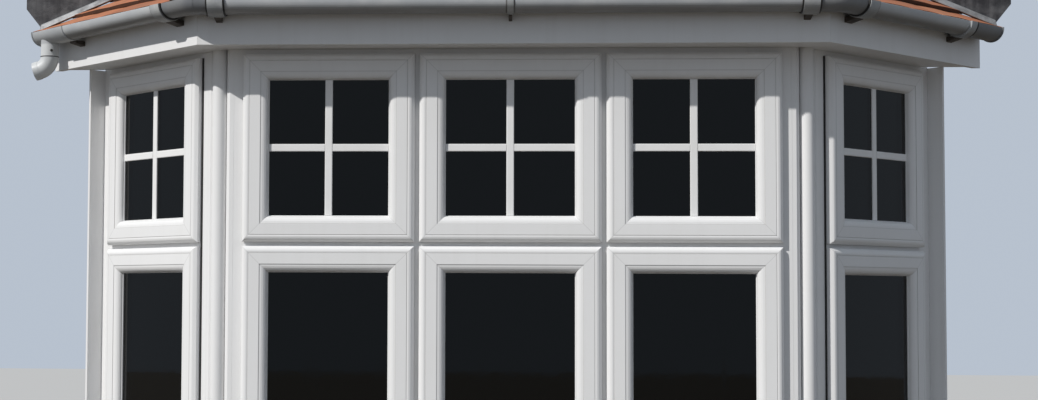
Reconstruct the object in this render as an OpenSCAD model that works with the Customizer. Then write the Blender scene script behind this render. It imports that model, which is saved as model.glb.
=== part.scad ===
// Canted bay window for the ground floor of a brick house.
// Three lights stand in front and one in each 45 degree side, every light with
// a top hung fanlight over a taller sash. The bay has its own brick dwarf wall,
// cills, boxed eaves, half round gutter and hipped tile roof.
// X runs along the house wall, Y into the house, Z up. The origin is on the
// ground, on the bay's centre line, in the outer face of the house wall.

/* [Plan] */
// Distance from the house wall to the glass of the front lights
bay_depth = 436; // [400:1:480]
// Distance from the end of the front frame to the corner of the glass line
corner_gap = 34; // [30:1:40]
// Turn of the side lights from the front, in degrees
cant_angle = 45; // [44:0.5:46]

/* [Lights] */
// Width of glass in sight in the middle front light
centre_glass_w = 372; // [350:1:400]
// Width of glass in sight in each outer front light
outer_glass_w = 348; // [330:1:370]
// Height of glass in sight in a fanlight
fanlight_glass_h = 394.5; // [340:0.5:440]
// Height of glass in sight in a lower light
lower_glass_h = 703; // [600:1:760]
// Distance from the corner of the glass line to a side sash
side_sash_start = 103; // [98:1:110]
// Reach of the side frames into the opening of the house wall, along their line
wall_lap = 36.4; // [30:0.1:45]

/* [Sash] */
// Width of the sash profile in sight
sash_sight = 76; // [72:1:80]
// Stand of the sash face in front of the glass
sash_proud = 24; // [20:1:28]
// Depth of the sash behind the outer face of the glass
sash_back = 44; // [40:1:46]
// Width of the outer bevel of the sash
outer_bevel = 8; // [6:0.5:10]
// Width of the rounded bead inside the outer bevel
bead_w = 13; // [10:0.5:14]
// Set-back of the rounded bead behind the sash face
bead_drop = 2; // [1:0.5:3]
// Fall of the outer bevel, down to the flange
bevel_fall = 9; // [7:0.5:11]
// Step between the outer bevel and the rounded bead
bevel_step = 3; // [2:0.5:4]
// Width of the moulding beside the glass
ovolo_w = 24; // [20:1:28]
// Width and depth of the quirk lines
quirk = 1.5; // [1:0.1:2]
// Width of the sash flange that laps over the frame
flange_lap = 24; // [20:1:26]
// Stand of the flange's back in front of the glass line
flange_stand = 1.5; // [1:0.5:2.5]
// Width of the seal behind the flange
seal_w = 12; // [10:1:14]
// Gap between the body of a sash and its rebate
sash_play = 4; // [3:0.5:6]
// Thickness of the lip that holds the glass from outside
glazing_lip = 3; // [2:0.5:4]
// Chamfer of the glazing bead inside the room
inner_chamfer = 6; // [4:1:8]
// Thickness of a sealed glass unit
glass_t = 24; // [20:1:28]
// Cover of the sash over the glass edge
glass_cover = 12; // [10:1:14]
// Play round the edge of a glass unit
glass_play = 2; // [1:0.5:3]

/* [Frame] */
// Set-back of the frame face behind the glass line
frame_face = 2; // [0:1:4]
// Depth of the frame profile
frame_depth = 66; // [60:1:75]
// Depth of the rebate that takes a sash
rebate_depth = 45; // [44:1:48]
// Frame in sight beside a sash
frame_sight = 29; // [26:1:30]
// Mullion in sight between two sashes
mullion_sight = 14; // [12:1:16]
// Transom in sight between two sashes
transom_sight = 12.5; // [10:0.5:16]
// Width of the stop behind the sash
stop_w = 13; // [10:1:16]

/* [Corner posts] */
// Radius of the round bay pole
pole_r = 21; // [19:1:22]
// Distance of the pole centre behind the glass line
pole_set = 31; // [29:1:33]
// Distance of the pole centre outside the corner of the glass line
pole_out = 13; // [12:1:14]
// Flat face of a pole adaptor in sight
adaptor_face = 12; // [10:1:13]
// Chamfer of a pole adaptor
adaptor_chamfer = 10; // [8:1:11]
// Depth of the groove beside the pole
adaptor_step = 19; // [16:1:22]
// Set-back of an adaptor from the inside of the frame
adaptor_back = 12; // [10:1:16]
// Filler profile at the house end of a side frame
filler_w = 26; // [20:1:32]
// Thickness of the reveal board
reveal_t = 10; // [8:1:12]
// Stand of the reveal board in front of the glass line
reveal_proud = 50; // [44:1:52]

/* [Walls and cill] */
// Height of one brick course with its joint
course_h = 75; // [70:1:80]
// Number of courses in the dwarf wall
course_n = 11; // [10:1:12]
// Thickness of the dwarf wall
wall_t = 215; // [215:1:230]
// Stand of the brick face in front of the glass line
brick_proud = 35; // [30:1:40]
// Thickness of the inside plaster
plaster_t = 13; // [10:1:15]
// Height of the inside floor above the ground
floor_h = 150; // [100:1:225]
// Height of the cill
cill_h = 30; // [28:1:35]
// Stand of the cill nose in front of the glass line
cill_proud = 78; // [70:1:84]
// Width of the cill's hanging nose
nose_w = 12; // [10:1:14]
// Drop of the nose below the bed of the cill
nose_drop = 7; // [5:1:9]
// Rounding of the nose
nose_round = 3; // [2:0.5:4]
// Hollow under the cill, above its bed
cill_hollow = 4; // [3:0.5:6]
// Lap of the cill's bed past the brick face
bed_lap = 5; // [3:1:8]
// Thickness of the window board
board_t = 25; // [20:1:28]
// Overhang of the window board past the plaster
board_lap = 22; // [15:1:30]

/* [Eaves] */
// Stand of the fascia in front of the glass line
fascia_proud = 127; // [120:1:135]
// Thickness of the fascia board
fascia_t = 18; // [16:1:20]
// Height of the fascia board
fascia_h = 137; // [134:1:146]
// Height of sash head to soffit
soffit_rise = 15; // [10:1:20]
// Thickness of the soffit board
soffit_t = 9; // [8:1:12]
// Drop of the fascia below the soffit
fascia_lip = 4; // [2:1:8]
// Height of the timber head beam
head_beam_h = 100; // [90:1:110]
// Width of the timber head beam
head_beam_w = 95; // [90:1:100]
// Set-back of the head beam behind the frame face
beam_back = 3; // [2:1:6]
// Thickness of the ceiling board
ceiling_t = 12.5; // [9.5:0.5:15]

/* [Gutter] */
// Outside radius of the half round gutter
gutter_r = 38; // [36:1:40]
// Wall of the gutter
gutter_t = 2; // [2:0.5:3]
// Gap between the gutter and the fascia
gutter_gap = 10; // [8:1:12]
// Height of the gutter rim above the fascia bottom
gutter_rise = 115; // [108:1:118]
// Wall of the middle bracket and of the gutter ends
fitting_t = 3; // [2.5:0.5:4]
// Wall of a union, with its seal
union_t = 7; // [6:0.5:8]
// Width of a union
union_w = 44; // [36:1:50]
// Length of the front leg of a gutter angle, up to its union
angle_leg = 62; // [54:1:70]
// Length of its side leg
angle_side_leg = 82; // [70:1:95]
// Radius of the turn of a gutter angle
turn_r = 50; // [46:1:56]
// Width of the middle bracket
bracket_w = 18; // [14:1:24]
// Width of the union beside the stop end
end_union_w = 31; // [28:1:36]
// Length of the short gutter at the stop end
stop_length = 150; // [130:1:170]
// Thickness of a bracket's screw plate
plate_t = 4; // [3:0.5:5]
// Height of a bracket's screw plate
plate_h = 46; // [40:1:52]
// Drop of the screw plate below the gutter's rim
plate_drop = 32; // [28:1:38]
// Thickness of a closed gutter end
end_t = 4; // [3:0.5:5]
// Clearance of the gutter ends from the house wall
wall_clear = 3; // [2:0.5:5]
// Distance of the right stop end from the house wall end of the gutter
stop_end_back = 14; // [0:1:30]
// Outside radius of the outlet spout
outlet_r = 28; // [27:0.5:30]
// Distance of the spout's centre from the closed end
spout_back = 46; // [40:1:56]
// Distance from the spout's centre to the collar
spout_to_collar = 60; // [52:1:70]
// Width of the collar that takes the left gutter
collar_w = 80; // [70:1:90]
// Width of the stop inside the collar
collar_stop = 10; // [8:1:12]
// Wall of the spout and of the bend
outlet_wall = 2.5; // [2:0.5:3]
// Depth of the outlet spout under the gutter
outlet_drop = 40; // [34:1:50]
// Radius of the outlet bend
bend_r = 44; // [40:1:50]
// Turn of the outlet bend in degrees
bend_turn = 74; // [60:1:80]
// Length of the socket at the end of the bend
bend_socket = 16; // [12:1:24]
// Length of the bend's spigot inside the spout
spigot_h = 14; // [10:1:20]

/* [Roof] */
// Pitch of the roof in degrees
pitch = 31; // [30:0.5:32]
// Overhang of the tiles past the fascia
tile_lap = 45; // [38:1:50]
// Thickness of the tile layer
tile_t = 20; // [18:1:24]
// Height of a batten
batten_h = 25; // [19:1:25]
// Width of a batten
batten_w = 38; // [32:1:50]
// Spacing of the battens up the slope
batten_gauge = 100; // [95:1:105]
// Distance of the first batten up the slope, from the fascia
batten_start = 70; // [60:1:80]
// Depth of a rafter
rafter_h = 95; // [90:1:100]
// Width of a rafter
rafter_w = 47; // [38:1:50]
// Distance between the middle rafters
rafter_gap = 400; // [380:1:420]
// Distance of the first side rafter from the corner
side_rafter_x = 250; // [230:1:270]
// Distance between the side rafters
side_rafter_gap = 280; // [260:1:300]
// Gap between timbers that meet at a hip
timber_gap = 3; // [2:0.5:5]
// Depth of a hip rafter
hip_h = 120; // [110:1:125]
// Width of a hip rafter
hip_w = 35; // [32:1:40]
// Set of the hip rafter's top below the rafter tops
hip_set = 12; // [10:1:16]
// Depth of a ceiling joist
joist_h = 95; // [90:1:98]
// Thickness of the wall ledger
ledger_t = 47; // [38:1:50]
// Set-back of the ledger's ends from the fascia
ledger_back = 60; // [50:1:80]
// Radius of a hip tile
hip_tile_r = 80; // [76:1:86]
// Thickness of a hip tile
hip_tile_t = 12; // [10:1:14]
// Rise of a hip tile's crown above the tiles
hip_tile_rise = 30; // [26:1:34]
// Reach of the first hip tile past the tile tails
hip_tile_lip = 8; // [5:1:12]
// Room beyond the tile tails for the hip tiles
hip_tile_room = 30; // [26:1:36]
// Gap between the hip tiles and the lead
hip_play = 2; // [1:0.5:4]
// Thickness of the lead
lead_t = 3; // [2.5:0.5:4]
// Width of the lead dressed over the front tiles
lead_w = 82; // [70:1:150]
// Width of the lead dressed over the side tiles
side_lead_w = 25; // [20:1:40]
// Height of the lead upstand against the wall
lead_up = 120; // [90:1:150]
// Set-back of the lead from the tile tails, along the wall
lead_back = 15; // [5:1:25]
// Spread of the upstand past its foot, along the wall
lead_flare = 48; // [30:1:55]
// Height of the slanted foot of the upstand
flare_h = 60; // [40:1:70]

/* [Hidden] */
seat = 0.3;
mitre_gap = 0.25;
upvc = [0.93, 0.93, 0.94];
brick_red = [0.55, 0.25, 0.17];
tile_red = [0.72, 0.40, 0.26];
timber = [0.78, 0.63, 0.44];
lead_grey = [0.36, 0.37, 0.40];
gutter_grey = [0.50, 0.52, 0.54];
plaster_white = [0.90, 0.88, 0.84];

glass_y = -bay_depth;
half_turn = tan(cant_angle / 2);
wall_top = course_h * course_n;
frame_bottom = wall_top + cill_h;
frame_back = frame_face + frame_depth;
lower_bottom = frame_bottom + frame_sight;
lower_h = lower_glass_h + 2 * sash_sight;
fanlight_bottom = lower_bottom + lower_h + transom_sight;
fanlight_h = fanlight_glass_h + 2 * sash_sight;
sash_head = fanlight_bottom + fanlight_h;
frame_head = sash_head + frame_sight;
centre_w = centre_glass_w + 2 * sash_sight;
outer_w = outer_glass_w + 2 * sash_sight;
outer_x = centre_w / 2 + mullion_sight;
front_frame_x = outer_x + outer_w + frame_sight;
corner_x = front_frame_x + corner_gap;
side_reach = bay_depth / sin(cant_angle) + wall_lap;
side_w = round(side_reach - filler_w - frame_sight - side_sash_start);
side_frame_a = side_sash_start - frame_sight;
side_frame_b = side_sash_start + side_w + frame_sight;
pole_x = corner_x + pole_out;
pole_y = glass_y + pole_set;
soffit_z = sash_head + soffit_rise;
fascia_bottom = soffit_z - fascia_lip;
fascia_top = fascia_bottom + fascia_h;
rim_z = fascia_bottom + gutter_rise;
gutter_t0 = fascia_proud + gutter_gap + gutter_r;
brick_back = wall_t - brick_proud;
plaster_back = brick_back + plaster_t;
rise = tan(pitch);
slope_cos = cos(pitch);
rafter_top = fascia_top - batten_h / slope_cos;
head_top = frame_head + head_beam_h;
beam_set = frame_face + beam_back;
hip_x = corner_x + fascia_proud * half_turn;
hip_pitch = atan(rise * cos(cant_angle / 2));
side_rafters = [side_rafter_x, side_rafter_x + side_rafter_gap];
front_rafters = [for (i = [-1.5, -0.5, 0.5, 1.5]) i * rafter_gap];
big = 4000;
far = 1000;

// Corner of the plan line that stands t in front of the glass line
function corner(t) = corner_x + t * half_turn;
// Where that line meets the plane y
function side_end(t, y) = corner(t) + (y - glass_y + t) / tan(cant_angle);

// Area inside the plan line t, from that line back to the plane y
module plan_area(t, y = 0) {
    polygon([
        [-side_end(t, y), y], [-corner(t), glass_y - t],
        [corner(t), glass_y - t], [side_end(t, y), y]
    ]);
}

// Strip between the plan lines outer and inner, open towards the house
module plan_band(outer, inner, y = 0) {
    polygon([
        [-side_end(outer, y), y], [-corner(outer), glass_y - outer],
        [corner(outer), glass_y - outer], [side_end(outer, y), y],
        [side_end(inner, y), y], [corner(inner), glass_y - inner],
        [-corner(inner), glass_y - inner], [-side_end(inner, y), y]
    ]);
}

// The part of the plan that belongs to the front, cut at the mitre lines
module front_sector(inset = 0) {
    polygon([
        [-corner(far) + inset, glass_y - far], [corner(far) - inset, glass_y - far],
        [corner(-bay_depth) - inset, 0], [-corner(-bay_depth) + inset, 0]
    ]);
}

// The part of the plan that belongs to the right side, back to the plane y
module right_sector(inset = 0, y = 0) {
    polygon([
        [corner(far) + inset, glass_y - far], [big, glass_y - far],
        [big, y], [corner(-bay_depth - y) + inset, y]
    ]);
}

// Places a piece drawn along X, outward towards -Y, on the right side light
module on_right() {
    translate([corner_x, glass_y, 0]) rotate([0, 0, cant_angle]) children();
}

// The same on the left side light
module on_left() {
    mirror([1, 0, 0]) on_right() children();
}

// Places a piece drawn the same way on the front
module on_front() {
    translate([0, glass_y, 0]) children();
}

// Runs a section, drawn as outward stand and height, along X from a to b
module run(a, b) {
    translate([a, 0, 0]) rotate([90, 0, 90]) linear_extrude(b - a) mirror([1, 0]) children();
}

// Section of the sash: distance in from its outer edge, and stand before the glass
module sash_section() {
    bead_start = outer_bevel + bead_w;
    bead_y = sash_proud - bead_drop;
    flat_end = sash_sight - ovolo_w;
    ovolo_foot = glazing_lip + quirk;
    ovolo_h = sash_proud - quirk - ovolo_foot;
    pocket = sash_sight - glass_cover - glass_play;
    body = flange_lap + sash_play;
    seal_end = flange_lap - seal_w;
    steps = 6;
    polygon(concat(
        [[0, flange_stand], [0, bead_y - bevel_fall], [outer_bevel - bevel_step, bead_y - bevel_step]],
        [for (i = [0 : steps])
            let (k = i / steps)
            [outer_bevel + (bead_w - quirk) * k, bead_y + bead_drop * sin(135 * k)]],
        [[bead_start - quirk, sash_proud - quirk], [bead_start, sash_proud]],
        [[flat_end, sash_proud], [flat_end, sash_proud - quirk]],
        [for (i = [0 : steps])
            let (k = i / steps)
            [flat_end + quirk + (ovolo_w - 2 * quirk) * sin(90 * k), ovolo_foot + ovolo_h * cos(90 * k)]],
        [[sash_sight, glazing_lip], [sash_sight, 0], [pocket, 0]],
        [[pocket, -glass_t], [sash_sight - inner_chamfer / 3, -glass_t]],
        [[sash_sight - inner_chamfer, -sash_back + inner_chamfer]],
        [[sash_sight - 2 * inner_chamfer, -sash_back]],
        [[body, -sash_back], [body, -frame_face + seat]],
        [[seal_end, -frame_face + seat], [seal_end, flange_stand]]
    ));
}

// Section laid along the bottom of a light of width w, cut to mitres
module sash_bar(w) {
    intersection() {
        rotate([90, 0, 90]) linear_extrude(w)
            mirror([1, 0]) rotate(90) mirror([0, 1]) sash_section();
        translate([0, far / 2, 0]) rotate([90, 0, 0]) linear_extrude(far)
            polygon([[0, 0], [w, 0], [w - sash_sight, sash_sight], [sash_sight, sash_sight]]);
    }
}

// A sash of outer size w by h with welded mitre corners
module sash(w, h) {
    union() {
        sash_bar(w);
        translate([w, 0, h]) rotate([0, 180, 0]) sash_bar(w);
        translate([w, 0, 0]) rotate([0, -90, 0]) sash_bar(h);
        translate([0, 0, h]) rotate([0, 90, 0]) sash_bar(h);
    }
}

// A sealed glass unit for a sash of outer size w by h
module pane(w, h) {
    in = sash_sight - glass_cover;
    translate([in, 0, in]) cube([w - 2 * in, glass_t, h - 2 * in]);
}

// Both openings of a light that starts at x, cut to the sash size less inset
module light_holes(x, w, inset) {
    for (z = [[lower_bottom, lower_h], [fanlight_bottom, fanlight_h]])
        translate([x + inset, z[0] + inset]) square([w - 2 * inset, z[1] - 2 * inset]);
}

// A frame from a to b along X with the lights in the list of [start, width]
module light_frame(a, b, lights) {
    difference() {
        translate([a, frame_face, frame_bottom])
            cube([b - a, frame_depth, frame_head - frame_bottom]);
        translate([0, frame_face + rebate_depth, 0]) rotate([90, 0, 0])
            linear_extrude(rebate_depth + 1)
            for (l = lights) light_holes(l[0], l[1], flange_lap);
        translate([0, frame_back + 1, 0]) rotate([90, 0, 0]) linear_extrude(frame_depth + 2)
            for (l = lights) light_holes(l[0], l[1], flange_lap + stop_w);
    }
}

front_lights = [[-outer_x - outer_w, outer_w], [-centre_w / 2, centre_w], [outer_x, outer_w]];
side_lights = [[side_sash_start, side_w]];

module front_frame() {
    color(upvc) on_front() light_frame(-front_frame_x, front_frame_x, front_lights);
}

module right_frame() {
    color(upvc) on_right() light_frame(side_frame_a, side_frame_b, side_lights);
}

module left_frame() {
    color(upvc) on_left() light_frame(side_frame_a, side_frame_b, side_lights);
}

module front_fanlight(i) {
    color(upvc) on_front() translate([front_lights[i][0], 0, fanlight_bottom])
        sash(front_lights[i][1], fanlight_h);
}

module front_sash(i) {
    color(upvc) on_front() translate([front_lights[i][0], 0, lower_bottom])
        sash(front_lights[i][1], lower_h);
}

module side_fanlight() {
    color(upvc) translate([side_sash_start, 0, fanlight_bottom]) sash(side_w, fanlight_h);
}

module side_sash() {
    color(upvc) translate([side_sash_start, 0, lower_bottom]) sash(side_w, lower_h);
}

module panes(lights) {
    color([0.10, 0.12, 0.13, 0.6])
    for (l = lights) {
        translate([l[0], 0, fanlight_bottom]) pane(l[1], fanlight_h);
        translate([l[0], 0, lower_bottom]) pane(l[1], lower_h);
    }
}

// Round pole at the right corner, from the cill to the head
module bay_pole() {
    color(upvc) translate([pole_x, pole_y, frame_bottom])
        cylinder(r = pole_r, h = frame_head - frame_bottom, $fn = 64);
}

// Profile between a frame edge at a and the pole, drawn along X
module adaptor_strip(a, reach) {
    linear_extrude(frame_head - frame_bottom)
        polygon([
            [a, frame_face], [a + adaptor_face, frame_face],
            [a + adaptor_face + adaptor_chamfer, frame_face + adaptor_chamfer],
            [a + adaptor_face + adaptor_chamfer, frame_face + adaptor_chamfer + adaptor_step],
            [a + reach, frame_face + adaptor_chamfer + adaptor_step],
            [a + reach, frame_back - adaptor_back], [a, frame_back - adaptor_back]
        ]);
}

// Half of the plan on the front side or on the cant side of the right pole
module pole_half(on_cant) {
    translate([pole_x, pole_y]) rotate(cant_angle / 2)
        translate([on_cant ? seat / 2 : -far - seat / 2, -far / 2]) square(far);
}

module right_adaptors() {
    difference() {
        union() {
            intersection() {
                on_front() translate([0, 0, frame_bottom])
                    adaptor_strip(front_frame_x + seat, pole_x - front_frame_x);
                linear_extrude(big) pole_half(false);
            }
            intersection() {
                on_right() translate([0, 0, frame_bottom]) mirror([1, 0, 0])
                    adaptor_strip(-side_frame_a + seat, side_frame_a - pole_set);
                linear_extrude(big) pole_half(true);
            }
        }
        translate([pole_x, pole_y, frame_bottom - 1])
            cylinder(r = pole_r + seat, h = frame_head, $fn = 64);
    }
}

module pole_adaptors() {
    color(upvc) {
        right_adaptors();
        mirror([1, 0, 0]) right_adaptors();
    }
}

module jamb_fillers() {
    color(upvc)
    for (m = [0, 1]) mirror([m, 0, 0]) on_right()
        translate([side_frame_b + seat, frame_face, frame_bottom])
        cube([filler_w - seat, frame_depth, frame_head - frame_bottom]);
}

module reveal_boards() {
    color(upvc)
    for (m = [0, 1]) mirror([m, 0, 0]) on_right()
        translate([side_frame_b + filler_w + seat, -reveal_proud, frame_bottom])
        cube([reveal_t, reveal_proud + frame_back, soffit_z - frame_bottom - seat]);
}

// Section of the cill: stand before the glass line, and height
module cill_section() {
    nose = cill_proud;
    bed = brick_proud + bed_lap;
    polygon([
        [-frame_back, wall_top], [bed, wall_top], [bed, wall_top + cill_hollow],
        [nose - nose_w, wall_top + cill_hollow], [nose - nose_w, wall_top - nose_drop],
        [nose - nose_round, wall_top - nose_drop], [nose, wall_top - nose_drop + nose_round],
        [nose, wall_top + nose_w], [nose - nose_round / 2, wall_top + nose_w + cill_hollow],
        [nose - bed_lap, wall_top + nose_w + nose_drop], [-frame_face + 1, frame_bottom - 1],
        [-frame_face, frame_bottom], [-frame_back, frame_bottom]
    ]);
}

module front_cill() {
    color(upvc) intersection() {
        on_front() run(-big / 2, big / 2) cill_section();
        linear_extrude(big) front_sector(mitre_gap);
    }
}

module right_cill() {
    color(upvc) intersection() {
        on_right() run(-far, side_frame_b + filler_w) cill_section();
        linear_extrude(big) right_sector(mitre_gap, wall_t);
    }
}

module left_cill() {
    mirror([1, 0, 0]) right_cill();
}

module brick_dwarf_wall() {
    color(brick_red) linear_extrude(wall_top) plan_band(brick_proud, -brick_back);
}

module plaster_lining() {
    color(plaster_white) translate([0, 0, floor_h]) linear_extrude(wall_top - floor_h)
        plan_band(-brick_back, -plaster_back);
}

module floor_slab() {
    color([0.70, 0.60, 0.48]) linear_extrude(floor_h) plan_area(-brick_back);
}

module window_board() {
    color(upvc) translate([0, 0, wall_top])
        linear_extrude(board_t) plan_band(-frame_back, -plaster_back - board_lap);
}

module head_beam() {
    color(timber) translate([0, 0, frame_head])
        linear_extrude(head_beam_h) plan_band(-beam_set, -beam_set - head_beam_w);
}

module ceiling_board() {
    color(plaster_white) translate([0, 0, frame_head - ceiling_t])
        linear_extrude(ceiling_t) plan_area(-frame_back);
}

module soffit_boards() {
    color(upvc) translate([0, 0, soffit_z]) linear_extrude(soffit_t)
    for (side = [-1, 0, 1]) intersection() {
        plan_band(fascia_proud - fascia_t, -frame_face + seat);
        if (side == 0) front_sector(mitre_gap);
        else mirror([side < 0 ? 1 : 0, 0]) right_sector(mitre_gap);
    }
}

// Fascia boards all round, before they are parted at the mitres
module fascia_ring() {
    translate([0, 0, fascia_bottom]) linear_extrude(fascia_h)
        plan_band(fascia_proud, fascia_proud - fascia_t);
}

module front_fascia() {
    color(upvc) intersection() {
        fascia_ring();
        linear_extrude(big) front_sector(mitre_gap);
    }
}

module right_fascia() {
    color(upvc) intersection() {
        fascia_ring();
        linear_extrude(big) right_sector(mitre_gap);
    }
}

module left_fascia() {
    mirror([1, 0, 0]) right_fascia();
}

// Half round gutter section about the centre of its rim, with a bead on the lip.
// It is thicker by grow on every side.
module gutter_section(grow = 0) {
    shell_section(gutter_r + grow, gutter_r - gutter_t - grow, grow);
    translate([gutter_r - gutter_t, -gutter_t / 2]) circle(r = gutter_t + grow, $fn = 24);
}

// Half ring between two radii, open above the height top
module shell_section(outer, inner, top = 0) {
    difference() {
        circle(r = outer, $fn = 64);
        circle(r = inner, $fn = 64);
        translate([-outer - 1, top]) square([2 * outer + 2, outer + 1]);
    }
}

// Half disc that closes the end of a gutter
module end_section() {
    r = gutter_r + fitting_t;
    difference() {
        circle(r = r, $fn = 64);
        translate([-r - 1, gutter_t]) square([2 * r + 2, r + 1]);
    }
}

// Runs a section drawn about the rim centre, from a to b along X
module gutter_run(a, b) {
    run(a, b) translate([gutter_t0, rim_z]) children();
}

// Places along the gutter line: the mitre points, unions, joints and ends
expansion_gap = 2;
turn_extra = 0.6;
angle_x = corner(gutter_t0);
side_mitre = (angle_x - corner_x) * cos(cant_angle) - gutter_t0 * sin(cant_angle);
front_union = angle_x - angle_leg - union_w / 2;
side_union = side_mitre + angle_side_leg + union_w / 2;
side_last = (bay_depth - wall_clear) / sin(cant_angle)
    + (gutter_t0 - gutter_r - fitting_t) / tan(cant_angle);
stop_x = side_last - stop_end_back - end_t;
end_union = stop_x - stop_length - union_w / 2;
outlet_last = side_last - end_t;
outlet_x = outlet_last - spout_back;
collar_end = outlet_x - spout_to_collar;
collar_start = collar_end - collar_w;

module front_gutter() {
    half = front_union - expansion_gap / 2;
    color(gutter_grey) on_front() gutter_run(-half, half) gutter_section();
}

module right_gutter() {
    color(gutter_grey) on_right()
        gutter_run(side_union + expansion_gap / 2, end_union - expansion_gap / 2) gutter_section();
}

module left_gutter() {
    color(gutter_grey) on_left()
        gutter_run(side_union + expansion_gap / 2, collar_end - collar_stop - expansion_gap) gutter_section();
}

// Angle piece of the right corner, with a thicker turn swept between its legs
module right_angle() {
    tangent = turn_r * half_turn;
    root = 2;
    on_front() gutter_run(front_union + expansion_gap / 2, angle_x - tangent + root)
        gutter_section();
    on_right() gutter_run(side_mitre + tangent - root, side_union - expansion_gap / 2)
        gutter_section();
    translate([angle_x - tangent, glass_y - gutter_t0 + turn_r, rim_z]) rotate([0, 0, -90])
        rotate_extrude(angle = cant_angle, $fn = 96) translate([turn_r, 0])
        gutter_section(turn_extra);
}

module gutter_angles() {
    color(gutter_grey) {
        right_angle();
        mirror([1, 0, 0]) right_angle();
    }
}

// Bracket of wall t and width w round the gutter, screwed to the fascia at x
module gutter_bracket(x, w, t) {
    back = fascia_proud + seat - gutter_t0;
    gutter_run(x - w / 2, x + w / 2) {
        shell_section(gutter_r + t, gutter_r + seat);
        translate([back, -plate_drop]) square([plate_t, plate_h]);
        translate([back, -plate_t]) square([-back - gutter_r - 2 * seat, plate_t]);
    }
}

module gutter_brackets() {
    color(gutter_grey) {
        on_front() gutter_bracket(0, bracket_w, fitting_t);
        for (m = [0, 1]) mirror([m, 0, 0]) {
            on_front() gutter_bracket(front_union, union_w, union_t);
            on_right() gutter_bracket(side_union, union_w, union_t);
        }
        on_right() gutter_bracket(end_union, end_union_w, union_t);
    }
}

// Short length of gutter with a closed end, at the right
module gutter_stop_end() {
    color(gutter_grey) on_right() {
        gutter_run(end_union + expansion_gap / 2, stop_x) gutter_section();
        gutter_run(stop_x, stop_x + end_t) end_section();
    }
}

// Closed gutter end with a spout, and the collar that takes the left gutter
module gutter_outlet() {
    spout_z = -gutter_r - outlet_drop;
    color(gutter_grey) on_left() difference() {
        union() {
            gutter_run(collar_start, collar_end - collar_stop)
                shell_section(gutter_r + fitting_t, gutter_r + seat);
            gutter_run(collar_end - collar_stop, collar_end)
                shell_section(gutter_r + fitting_t, gutter_r - gutter_t);
            gutter_run(collar_end - collar_stop / 2, outlet_last) gutter_section();
            gutter_run(outlet_last, outlet_last + end_t) end_section();
            difference() {
                translate([outlet_x, -gutter_t0, rim_z + spout_z])
                    cylinder(r = outlet_r, h = outlet_drop + gutter_r / 2, $fn = 48);
                gutter_run(outlet_x - 2 * outlet_r, outlet_x + 2 * outlet_r)
                    circle(r = gutter_r - gutter_t / 2, $fn = 64);
            }
        }
        translate([outlet_x, -gutter_t0, rim_z + spout_z - 1])
            cylinder(r = outlet_r - outlet_wall, h = outlet_drop + gutter_r, $fn = 48);
    }
}

// Swept pipe of radius r through the turn of the outlet bend
module bend_sweep(r) {
    translate([bend_r, 0, 0]) rotate([-90, 0, 180]) rotate_extrude(angle = bend_turn, $fn = 96)
        translate([bend_r, 0]) circle(r = r, $fn = 48);
}

// Places a cylinder from the end of the turn, along the way out
module bend_end(r, from, length) {
    translate([bend_r * (1 - cos(bend_turn)), 0, -bend_r * sin(bend_turn)])
        rotate([0, 180 - bend_turn, 0]) translate([0, 0, from]) cylinder(r = r, h = length, $fn = 48);
}

// Bend under the outlet: a spigot up into the spout and a socket for the pipe
module outlet_bend() {
    spigot_r = outlet_r - outlet_wall - seat;
    bore = spigot_r - outlet_wall;
    root = 1;
    color([0.72, 0.73, 0.74]) on_left()
        translate([outlet_x, -gutter_t0, rim_z - gutter_r - outlet_drop - seat])
        rotate([0, 0, -cant_angle]) difference() {
            union() {
                translate([0, 0, -root]) cylinder(r = spigot_r, h = spigot_h + root, $fn = 48);
                bend_sweep(outlet_r);
                bend_end(outlet_r + 1, -root, bend_socket + root);
            }
            bend_sweep(bore);
            translate([0, 0, -root]) cylinder(r = bore + seat, h = spigot_h + 2 * root, $fn = 48);
            bend_end(outlet_r - outlet_wall, -root, bend_socket + 2 * root);
        }
}

// Height at the plan line t of the surface that stands lift above the rafters
function slope_z(lift, t) = rafter_top + lift / slope_cos + (fascia_proud - t) * rise;

// A layer of the roof over the front slope, from lift to lift plus thick above
// the rafters. It starts at the plan line start.
module slope_layer(lift, thick, start, length) {
    translate([-big / 2, -start, slope_z(lift, start)]) rotate([pitch, 0, 0])
        cube([big, length, thick]);
}

tile_lift = batten_h + seat;
tile_start = fascia_proud + tile_lap;
lead_lift = tile_lift + tile_t + seat;
flashing_inset = (hip_tile_r + hip_play) / cos(cant_angle / 2);

module front_roof_tiles() {
    color(tile_red) intersection() {
        on_front() slope_layer(tile_lift, tile_t, tile_start, big);
        linear_extrude(big) front_sector(mitre_gap);
    }
}

module right_roof_tiles() {
    color(tile_red) intersection() {
        on_right() slope_layer(tile_lift, tile_t, tile_start, big);
        linear_extrude(big) right_sector(mitre_gap);
    }
}

module left_roof_tiles() {
    mirror([1, 0, 0]) right_roof_tiles();
}

batten_room = (bay_depth + fascia_proud) / slope_cos - batten_start - batten_w;
batten_n = floor(batten_room / batten_gauge) + 1;

// Battens of one slope, the first under the second course of tiles
module slope_battens() {
    for (i = [0 : batten_n - 1])
        slope_layer(0, batten_h, fascia_proud - (batten_start + i * batten_gauge) * slope_cos, batten_w);
}

module tile_battens() {
    color(timber) {
        intersection() {
            on_front() slope_battens();
            linear_extrude(big) front_sector(timber_gap);
        }
        for (m = [0, 1]) mirror([m, 0, 0]) intersection() {
            on_right() slope_battens();
            linear_extrude(big) right_sector(timber_gap, -expansion_gap);
        }
    }
}

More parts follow.
